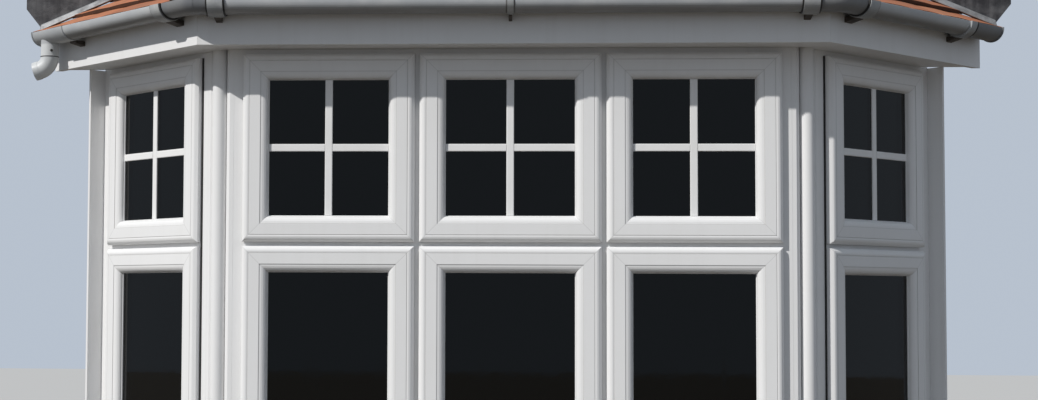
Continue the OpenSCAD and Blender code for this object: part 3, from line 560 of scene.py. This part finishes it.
def glazing_strip(length):
    nothing_selected()
    bpy.ops.mesh.primitive_cube_add(size=1)
    strip = bpy.context.object
    editing(strip)
    bpy.ops.transform.resize(value=(strip_w, strip_t, length))
    bpy.ops.mesh.select_all(action="DESELECT")
    mesh = bmesh.from_edit_mesh(strip.data)
    for edge in mesh.edges:
        low, high = edge.verts
        if low.co.y < 0 and high.co.y < 0 and abs(low.co.z - high.co.z) > length / 2:
            edge.select_set(True)
    bmesh.update_edit_mesh(strip.data)
    bpy.ops.mesh.bevel(offset=strip_bevel, segments=3, profile=0.6)
    bpy.ops.object.mode_set(mode="OBJECT")
    return strip


for light, (side, start, end) in lights.items():
    middle = (start + end) / 2
    half_w = (end - start) / 2 - bar_sight
    mid_z = (glass_low + glass_high) / 2
    upright = glazing_strip(glass_high - glass_low - strip_end_gap)
    half_bar = glazing_strip(half_w - strip_w / 2 - strip_cross_gap)
    lay = Matrix.Rotation(math.pi / 2, 4, "Y")
    strips = []
    for stand, turn_out in (
        (-strip_t / 2 - strip_face_gap, Matrix.Identity(4)),
        (glass_t + strip_t / 2 + strip_face_gap, Matrix.Rotation(math.pi, 4, "Z")),
    ):
        spot = Matrix.Translation((middle, stand, mid_z))
        strips.append(copied(upright, side @ spot @ turn_out))
        for way in (-1, 1):
            spot = Matrix.Translation((middle + way * (strip_w / 2 + half_w) / 2, stand, mid_z))
            strips.append(copied(half_bar, side @ spot @ turn_out @ lay))
    bpy.data.objects.remove(upright)
    bpy.data.objects.remove(half_bar)
    finished(joined(light + "_glazing_bars", strips), bar_finish, "white_upvc")

# Sealed glass units: two sheets of clear float glass sealed at their edges and
# bedded in the sashes. By day they read as near black from outside.
glass, tree, shader = new_finish(
    "dark_clear_glass", (0.010, 0.012, 0.012), 0.03, Transmission_Weight=1.0, IOR=1.5)
blotch, streak, grain = weathering(tree, 3.0)
tree.links.new(between(tree, streak, 0, 1, 0.015, 0.06), shader.inputs["Roughness"])
set_bump(tree, shader, blotch, 0.02, 0.002)
paint_node(glass, "front_glass", "left_glass", "right_glass")

# Carpentry: sawn softwood head beam, joists, ledger, rafters and battens,
# nailed together, with the grain along each run.
grain_group = bpy.data.node_groups.new("sawn_grain", "ShaderNodeTree")
grain_group.interface.new_socket("Stretch", in_out="INPUT", socket_type="NodeSocketVector")
grain_group.interface.new_socket("Rings", in_out="OUTPUT", socket_type="NodeSocketFloat")
grain_group.interface.new_socket("Fibre", in_out="OUTPUT", socket_type="NodeSocketFloat")
group_in = grain_group.nodes.new("NodeGroupInput")
group_out = grain_group.nodes.new("NodeGroupOutput")
stretched = add_node(grain_group, "ShaderNodeMapping", {
    "Vector": grain_group.nodes.new("ShaderNodeTexCoord").outputs["Object"],
    "Scale": group_in.outputs["Stretch"]})
rings = add_node(grain_group, "ShaderNodeTexWave", {
    "Vector": stretched.outputs[0], "Scale": 3.0, "Distortion": 7.0, "Detail": 3.0}, wave_type="RINGS")
fibre = add_node(grain_group, "ShaderNodeTexNoise", {
    "Vector": stretched.outputs[0], "Scale": 14.0, "Detail": 5.0})
grain_group.links.new(rings.outputs["Fac"], group_out.inputs["Rings"])
grain_group.links.new(fibre.outputs[0], group_out.inputs["Fibre"])
for name, stretch, members in (
    ("softwood_along_wall", (0.6, 9, 9), ("head_beam", "wall_ledger", "tile_battens")),
    ("softwood_into_house", (9, 0.6, 3), ("ceiling_joists", "rafters", "hip_rafters")),
):
    timber, tree, shader = new_finish(name, (0.58, 0.41, 0.24), 0.7)
    made = add_node(tree, "ShaderNodeGroup", node_tree=grain_group)
    made.inputs["Stretch"].default_value = stretch
    wood = mixed(tree, made.outputs["Rings"], (0.62, 0.44, 0.26), (0.45, 0.29, 0.15))
    sawn = mixed(tree, share_of(tree, made.outputs["Fibre"], 0.5), wood, (0.70, 0.55, 0.36))
    tree.links.new(sawn, shader.inputs["Base Color"])
    tree.links.new(between(tree, made.outputs["Fibre"], 0.2, 0.8, 0.6, 0.85), shader.inputs["Roughness"])
    set_bump(tree, shader, made.outputs["Fibre"], 0.35, 0.0008)
    paint_node(timber, *members)


# Gutter: half round grey plastic, clipped together from gutters, angles, unions,
# brackets, an outlet and a stop end, paled by dust and lime. Undersides are painted
# brown as shade, and the gap beside the middle bracket is painted dark as shade and dirt.
def upward_face(tree):
    normal = add_node(tree, "ShaderNodeNewGeometry").outputs["True Normal"]
    return add_node(tree, "ShaderNodeSeparateXYZ", {0: normal}).outputs[2]


def object_place(tree):
    place = tree.nodes.new("ShaderNodeTexCoord").outputs["Object"]
    return add_node(tree, "ShaderNodeSeparateXYZ", {0: place}).outputs


gutters = ("front_gutter", "left_gutter", "right_gutter")
for name, clean, dusty_tone, dust, underside_shade, members in (
    ("grey_gutter", (0.50, 0.52, 0.54), (0.66, 0.665, 0.66), 0.4, 0.65, gutters),
    ("grey_fitting", (0.21, 0.22, 0.235), (0.34, 0.345, 0.34), 0.4, 0.3,
     ("gutter_angles", "gutter_stop_end")),
    ("grey_outlet", (0.42, 0.44, 0.46), (0.56, 0.565, 0.56), 0.4, 0.2, ("gutter_outlet",)),
    ("grey_union", (0.36, 0.38, 0.40), (0.60, 0.60, 0.58), 0.6, 0.35, ("gutter_brackets",)),
    ("pale_fitting", (0.60, 0.62, 0.63), (0.70, 0.70, 0.69), 0.4, 0.0, ("outlet_bend",)),
):
    grey, tree, shader = new_finish(name, clean, 0.5)
    blotch, streak, grain = weathering(tree, 11.0)
    dust_then_shade = mixed(tree, share_of(tree, blotch, dust), clean, dusty_tone)
    # Faces turned downwards are painted dark brown: painted shade under the gutter and its fittings.
    painted_underside_shade = between(tree, upward_face(tree), -0.88, -0.35, underside_shade, 0)
    dust_then_shade = mixed(tree, painted_underside_shade, dust_then_shade, (0.085, 0.072, 0.058))
    if name == "grey_gutter":
        # A dark band is painted beside the middle bracket: painted shade in the gap there, with its dirt.
        off_middle = calculated(tree, "ABSOLUTE", object_place(tree)[0])
        bracket_gap_shade_and_dirt = between(tree, off_middle, 0.0105, 0.0150, 0.8, 0)
        worn = mixed(tree, bracket_gap_shade_and_dirt, dust_then_shade, (0.05, 0.042, 0.034))
    elif name == "grey_outlet":
        spout = between(tree, object_place(tree)[2], 2.380, 2.388, 1, 0)
        worn = mixed(tree, spout, dust_then_shade, (0.64, 0.655, 0.66))
    else:
        worn = mixed(tree, share_of(tree, streak, 0.16), dust_then_shade, (0.15, 0.15, 0.14))
    tree.links.new(worn, shader.inputs["Base Color"])
    tree.links.new(between(tree, blotch, 0, 1, 0.36, 0.6), shader.inputs["Roughness"])
    set_bump(tree, shader, grain, 0.15, 0.0005)
    paint_node(grey, *members)

# Seals and screws of the gutter: a black rubber lip beside each union is the seal and
# the painted shade of the joint, and a self-tapping screw with a round head holds the
# outlet's spout.
gutter_centre, rim = 0.175, 2.424
fitting_r = 0.041
angle_x = corner_x + gutter_centre * half_turn
side_mitre = (angle_x - corner_x) * math.cos(cant) - gutter_centre * math.sin(cant)
union_half = 0.022
seal_off, end_seal_off = union_half + 0.0025, 0.0180
angle_front_leg, angle_side_leg = 0.062, 0.082
end_clear, end_back, end_cap, end_length, end_half = 0.003, 0.014, 0.004, 0.150, 0.0155
front_union = angle_x - angle_front_leg - union_half
side_union = side_mitre + angle_side_leg + union_half
side_last = (-glass_line - end_clear) / math.sin(cant) + (gutter_centre - fitting_r) / math.tan(cant)
end_union = side_last - end_back - end_cap - end_length - end_half


def walled(piece, thickness):
    """Gives an open sheet its thickness, inwards."""
    wall = piece.modifiers.new("wall", "SOLIDIFY")
    wall.thickness = thickness
    wall.offset = -1
    picked(piece)
    bpy.ops.object.modifier_apply(modifier=wall.name)
    faced_outwards(piece)


def lying_cylinder(radius, length, points, ends="NGON"):
    nothing_selected()
    bpy.ops.mesh.primitive_cylinder_add(
        vertices=points, radius=radius, depth=length, end_fill_type=ends)
    piece = bpy.context.object
    editing(piece)
    bpy.ops.transform.rotate(value=math.pi / 2, orient_axis="Y", center_override=(0, 0, 0))
    bpy.ops.object.mode_set(mode="OBJECT")
    return piece


def half_ring(radius, width, thickness, points=40):
    """An open ring along X, with the part above its centre cut off."""
    ring = lying_cylinder(radius, width, points, "NOTHING")
    trimmed(ring, (0, 0, 0.001), (0, 0, 1), closed=False)
    walled(ring, thickness)
    return ring


# Black half rings beside the unions: rubber seals, and painted shade in the joints.
seal = half_ring(0.0425, 0.0045, 0.004)
seals = []
for side, union, off in (
    (front_side, front_union, seal_off), (front_side, -front_union, seal_off),
    (right_side, side_union, seal_off), (left_side, -side_union, seal_off),
    (right_side, end_union, end_seal_off),
):
    for spot in (union - off, union + off):
        seals.append(copied(seal, side @ Matrix.Translation((spot, -gutter_centre, rim))))
bpy.data.objects.remove(seal)
spout_x, spout_y, spout_foot, spout_r = -1.45514, -0.06735, 2.3457, 0.028
screw_z, screw_r, screw_h, screw_out = 2.3635, 0.0042, 0.005, 0.001
nothing_selected()
bpy.ops.mesh.primitive_torus_add(
    major_segments=48, minor_segments=8, major_radius=spout_r, minor_radius=0.0014,
    location=(spout_x, spout_y, spout_foot))
spout_ring = bpy.context.object
picked(spout_ring)
bpy.ops.object.transform_apply(location=True, rotation=True, scale=True)
nothing_selected()
bpy.ops.mesh.primitive_cylinder_add(vertices=20, radius=screw_r, depth=screw_h)
screw = bpy.context.object
bevelled(screw, 0.0014, 2, 50)
toward_eye = Vector((0.42, -0.907, 0)).normalized()
screw_place = Vector((spout_x, spout_y, screw_z)) + toward_eye * (spout_r + screw_out)
screw.data.transform(
    Matrix.Translation(screw_place) @ toward_eye.to_track_quat("Z", "Y").to_matrix().to_4x4())
seal_rubber_and_shade = black_rubber_and_shade(
    "black_rubber_and_shade", (0.025, 0.025, 0.026), 0.55, (0.02, 0.02, 0.021), (0.07, 0.068, 0.065))
finished(joined("gutter_seals", [*seals, spout_ring, screw]), seal_rubber_and_shade, "grey_gutter")

# Bracket feet: under every union and bracket a moulded foot runs back to the
# fascia, where it is screwed. It is painted dark brown, for the shade it sits in and its dirt.
fascia_stand, foot_stand = 0.1272, 0.167
foot_low, foot_nose, foot_high = 2.3705, 2.3785, 2.387
shaded_dirty_foot, tree, shader = new_finish("shaded_dirty_grey_fitting", (0.07, 0.058, 0.048), 0.7)
blotch, streak, grain = weathering(tree, 30.0)
shade_and_dirt_brown = mixed(tree, blotch, (0.045, 0.036, 0.030), (0.12, 0.10, 0.082))
tree.links.new(shade_and_dirt_brown, shader.inputs["Base Color"])
set_bump(tree, shader, grain, 0.3, 0.0006)
feet = []
for side, spot, half in (
    (front_side, 0, 0.005), (front_side, front_union, 0.010), (front_side, -front_union, 0.010),
    (right_side, side_union, 0.018), (left_side, -side_union, 0.018),
    (right_side, end_union, 0.014), (left_side, -end_union - 0.012, 0.014),
):
    ends = [((s, -foot_stand), (s, -fascia_stand)) for s in (spot - half, spot + half)]
    foot = bent_block("foot", ends, foot_low, foot_high)
    for v in foot.data.vertices:
        if v.co.y < -(foot_stand + fascia_stand) / 2 and v.co.z < foot_nose:
            v.co.z = foot_nose
    bevelled(foot, 0.002, 2)
    foot.data.transform(side)
    feet.append(foot)
finished(joined("bracket_feet", feet), shaded_dirty_foot, "grey_gutter")

# Roof covering: orange clay plain tiles, 165 mm wide, hung on the battens at a
# 100 mm gauge with broken joints, and cut to the hips and to the back plane.
pitch = math.radians(31)
tile_start = 0.172
fascia_top, fascia_proud = 2.446, 0.127
batten_clearance = 0.0003
tile_low = fascia_top + batten_clearance / math.cos(pitch) - (tile_start - fascia_proud) * math.tan(pitch)
tile_w, tile_gauge, tile_l = 0.165, 0.100, 0.132
tile_layer, tile_tail, tile_edge = 0.020, 0.012, 0.0012
tile_camber, tile_drop, tile_lean = 0.0016, 0.0018, 0.1225
tile_gap, tile_slip, tile_slide = 0.002, 0.0008, 0.0015
tile_rows = 8
hip_cut, hip_reach = 0.001, 0.14
tile_back, past_back = -0.001, 0.06
clay, tree, shader = new_finish("orange_clay_tile", (0.56, 0.23, 0.11), 0.8)
blotch, streak, grain = weathering(tree, 9.0)
fired = one_of_many(tree, (0.40, 0.125, 0.052), (0.58, 0.205, 0.088), (0.5, (0.47, 0.155, 0.066)))
worn = mixed(tree, share_of(tree, blotch, 0.5), fired, (0.20, 0.11, 0.072))
speckled = mixed(tree, share_of(tree, grain, 0.25), worn, (0.46, 0.29, 0.20))
# Faces turned down or sideways are painted near black: painted shade under each tile's tail, with its
# dirt.
painted_tail_shade = between(tree, upward_face(tree), -0.35, 0.25, 0.9, 0)
tree.links.new(mixed(tree, painted_tail_shade, speckled, (0.045, 0.032, 0.024)), shader.inputs["Base Color"])
tree.links.new(between(tree, blotch, 0, 1, 0.72, 0.92), shader.inputs["Roughness"])
set_bump(tree, shader, calculated(tree, "ADD", grain, blotch), 0.45, 0.001)
nothing_selected()
bpy.ops.mesh.primitive_cube_add(size=1)
one_tile = bpy.context.object
editing(one_tile)
bpy.ops.mesh.subdivide(number_cuts=3)
bpy.ops.object.mode_set(mode="OBJECT")
for v in one_tile.data.vertices:
    up_slope = v.co.y + 0.5
    crown = tile_camber * (1 - (2 * v.co.x) ** 2)
    low = (tile_layer - tile_tail) * (1 - up_slope)
    high = tile_layer - tile_drop + crown - tile_lean * up_slope * tile_l
    v.co = (v.co.x * (tile_w - tile_gap), up_slope * tile_l, low + (high - low) * (v.co.z + 0.5))
bevelled(one_tile, tile_edge, 1, 50)
right_corner, left_corner = Vector((corner_x, glass_line, 0)), Vector((-corner_x, glass_line, 0))
hip_right = Vector((1, half_turn, 0)).normalized()
hip_left = Vector((-hip_right.x, hip_right.y, 0))
for name, side, low_s, high_s in (
    ("front_roof_tiles", front_side, -1.1, 1.1),
    ("right_roof_tiles", right_side, -0.3, 1.3),
    ("left_roof_tiles", left_side, -1.3, 0.3),
):
    slope = side @ Matrix.Translation((0, -tile_start, tile_low)) @ Matrix.Rotation(pitch, 4, "X")
    row_tiles = []
    for row in range(tile_rows):
        s = low_s + (tile_w / 2 if row % 2 else 0)
        while s < high_s:
            slip = random.uniform(-tile_slip, tile_slip)
            slide = row * tile_gauge + random.uniform(0, tile_slide)
            spot = slope @ Matrix.Translation((s + slip, slide, 0))
            mid = spot.translation
            past_hip = hip_right.dot(Vector((abs(mid.x), mid.y, 0)) - right_corner)
            if side is front_side:
                keep = past_hip < hip_reach
            else:
                keep = past_hip > -hip_reach and mid.x * side.translation.x > 0
            if keep and mid.y < past_back:
                row_tiles.append(copied(one_tile, spot))
            s += tile_w
    slope_tiles = joined(name + "_laid", row_tiles)
    if side is front_side:
        trimmed(slope_tiles, right_corner - hip_right * hip_cut, hip_right)
        trimmed(slope_tiles, left_corner - hip_left * hip_cut, hip_left)
    elif side is right_side:
        trimmed(slope_tiles, right_corner + hip_right * hip_cut, -hip_right)
    else:
        trimmed(slope_tiles, left_corner + hip_left * hip_cut, -hip_left)
    trimmed(slope_tiles, (0, tile_back, 0), (0, 1, 0))
    finished(slope_tiles, clay, "clay_tile", name)
bpy.data.objects.remove(one_tile)

# Hip tiles: third round clay tiles, 300 mm long, lapped up the two hips and
# bedded in mortar, which closes the open end of the lowest tile.
hip_pitch = math.atan(math.tan(pitch) * math.cos(cant / 2))
hip_foot = Vector((corner_x + fascia_proud * half_turn, glass_line - fascia_proud, 2.470))
up_hip = (Matrix.Translation(hip_foot) @ Matrix.Rotation(math.pi / 2 + cant / 2, 4, "Z")
          @ Matrix.Rotation(-hip_pitch, 4, "Y"))
hip_r, hip_t, hip_gauge, hip_l = 0.080, 0.012, 0.250, 0.300
hip_narrowing, hip_shake = 0.10, 0.001
hip_start, hip_sink = -0.053, -0.050
hip_edge_z, hip_back = 0.026, -0.0035
bed_gap, bed_l, bed_in, bed_edge_z = 0.014, 0.030, 0.027, 0.022
hip_tile = lying_cylinder(hip_r, hip_l, 40, "NOTHING")
editing(hip_tile)
bpy.ops.mesh.subdivide(number_cuts=2)
bpy.ops.object.mode_set(mode="OBJECT")
trimmed(hip_tile, (0, 0, hip_edge_z), (0, 0, -1), closed=False)
for v in hip_tile.data.vertices:
    v.co.yz = v.co.yz * (1 - hip_narrowing * (v.co.x / hip_l + 0.5))
    v.co.x += hip_l / 2
walled(hip_tile, hip_t)
bevelled(hip_tile, 0.002, 1, 50)
hip_bed = lying_cylinder(hip_r - bed_gap, bed_l, 40)
trimmed(hip_bed, (0, 0, bed_edge_z), (0, 0, -1))
bevelled(hip_bed, 0.003)
laid_hips, hip_beds = [], []
for flip in (Matrix.Identity(4), to_left):
    for i in range(3):
        shake = random.uniform(-hip_shake, hip_shake)
        spot = up_hip @ Matrix.Translation((hip_start + i * hip_gauge, shake, hip_sink))
        laid_hips.append(copied(hip_tile, flip @ spot))
    spot = up_hip @ Matrix.Translation((hip_start + bed_in, 0, hip_sink))
    hip_beds.append(copied(hip_bed, flip @ spot))
for spare in (hip_tile, hip_bed):
    bpy.data.objects.remove(spare)
hips = joined("hip_tiles_laid", laid_hips)
trimmed(hips, (0, hip_back, 0), (0, 1, 0))
finished(hips, clay, "clay_tile", "hip_tiles")
finished(joined("hip_bedding", hip_beds), mortar, "clay_tile", "hip_tiles")

# Lead flashings: sheet lead turned up in the bay's back plane and dressed over
# the tiles in a roll, dull and dark, with paler patches where rain washed it.
lead, tree, shader = new_finish("dull_lead", (0.08, 0.08, 0.085), 0.6, Metallic=0.3)
blotch, streak, grain = weathering(tree, 16.0)
mottled = mixed(tree, blotch, (0.042, 0.042, 0.047), (0.115, 0.117, 0.125))
washed_down = mixed(tree, share_of(tree, streak, 0.35), mottled, (0.26, 0.26, 0.265))
tree.links.new(washed_down, shader.inputs["Base Color"])
tree.links.new(between(tree, blotch, 0, 1, 0.45, 0.75), shader.inputs["Roughness"])
set_bump(tree, shader, calculated(tree, "ADD", blotch, grain), 0.4, 0.002)
paint_node(lead, "top_flashing")
washed, tree, shader = new_finish("washed_lead", (0.3, 0.31, 0.32), 0.55, Metallic=0.2)
blotch, streak, grain = weathering(tree, 18.0)
patchy = mixed(tree, share_of(tree, blotch, 0.8), (0.34, 0.35, 0.36), (0.13, 0.13, 0.135))
tree.links.new(patchy, shader.inputs["Base Color"])
tree.links.new(between(tree, blotch, 0, 1, 0.45, 0.7), shader.inputs["Roughness"])
set_bump(tree, shader, calculated(tree, "ADD", blotch, grain), 0.4, 0.002)
foot_x, foot_z = 1.51824, 2.442993
back_rise = math.tan(pitch) / (half_turn + 1 / math.tan(cant))
valley_x, tail_x, end_x = 0.74716, 1.50324, 1.55124
upstand_t, upstand_top, upstand_end = 0.003, 2.559356, 0.060
roll_depth, roll_below, roll_above, roll_crest = 0.022, 0.013, 0.009, -0.009


def lead_line(x):
    """Height of the tiles in the back plane, at a distance from the bay's middle."""
    return foot_z + (foot_x - x) * back_rise


def stood_up(name, stations, thickness):
    """A sheet in the back plane, from (x, bottom, top) stations."""
    sheet = bent_block(name, [((x, low), (x, high)) for x, low, high in stations], 0, thickness)
    sheet.data.transform(Matrix.Rotation(math.pi / 2, 4, "X"))
    return sheet


uprights = [(x, lead_line(x), upstand_top + (end_x - x) * back_rise)
            for x in (valley_x, 0.95, 1.15, 1.35, tail_x)]
uprights.append((end_x, lead_line(tail_x) + upstand_end, upstand_top))
upstand = stood_up("side_lead", uprights, upstand_t)
bevelled(upstand, 0.0012, 1)
roll = stood_up("side_lead_roll", [
    (x, lead_line(x) - roll_below, lead_line(x) + roll_above)
    for x in (valley_x, 0.90, 1.05, 1.20, 1.35, tail_x)], roll_depth)
for v in roll.data.vertices:
    if v.co.y < -roll_depth / 2 and v.co.z > lead_line(v.co.x):
        v.co.y = roll_crest
bevelled(roll, 0.004, 3)

# Lead saddles: at the head of each hip a sheet stands behind the top hip tile,
# and a collar is dressed down over the tile.
saddle_t, collar_t, collar_w = 0.0034, 0.0032, 0.080
collar_r = hip_r + 0.0042
collar_up, collar_edge_z, collar_back = 0.675, 0.030, -0.0004
saddle = stood_up("hip_saddle", [
    (0.560, 2.780, 2.9283), (0.650, 2.780, 2.9160), (0.757, 2.764, 2.8968)], saddle_t)
bevelled(saddle, 0.0008, 1)
collar = half_ring(collar_r, collar_w, collar_t, 48)
editing(collar)
bpy.ops.transform.rotate(value=math.pi, orient_axis="X", center_override=(0, 0, 0))
bpy.ops.object.mode_set(mode="OBJECT")
trimmed(collar, (0, 0, collar_edge_z), (0, 0, -1))
collar.data.transform(up_hip @ Matrix.Translation((collar_up, 0, hip_sink)))
trimmed(collar, (0, collar_back, 0), (0, 1, 0))
saddle = joined("hip_saddle", [saddle, collar])
for half, finish in ((upstand, lead), (roll, washed), (saddle, lead)):
    pair = [half, copied(half, to_left)]
    finished(joined(half.name + "s", pair), finish, "lead_sheet", "side_flashings")
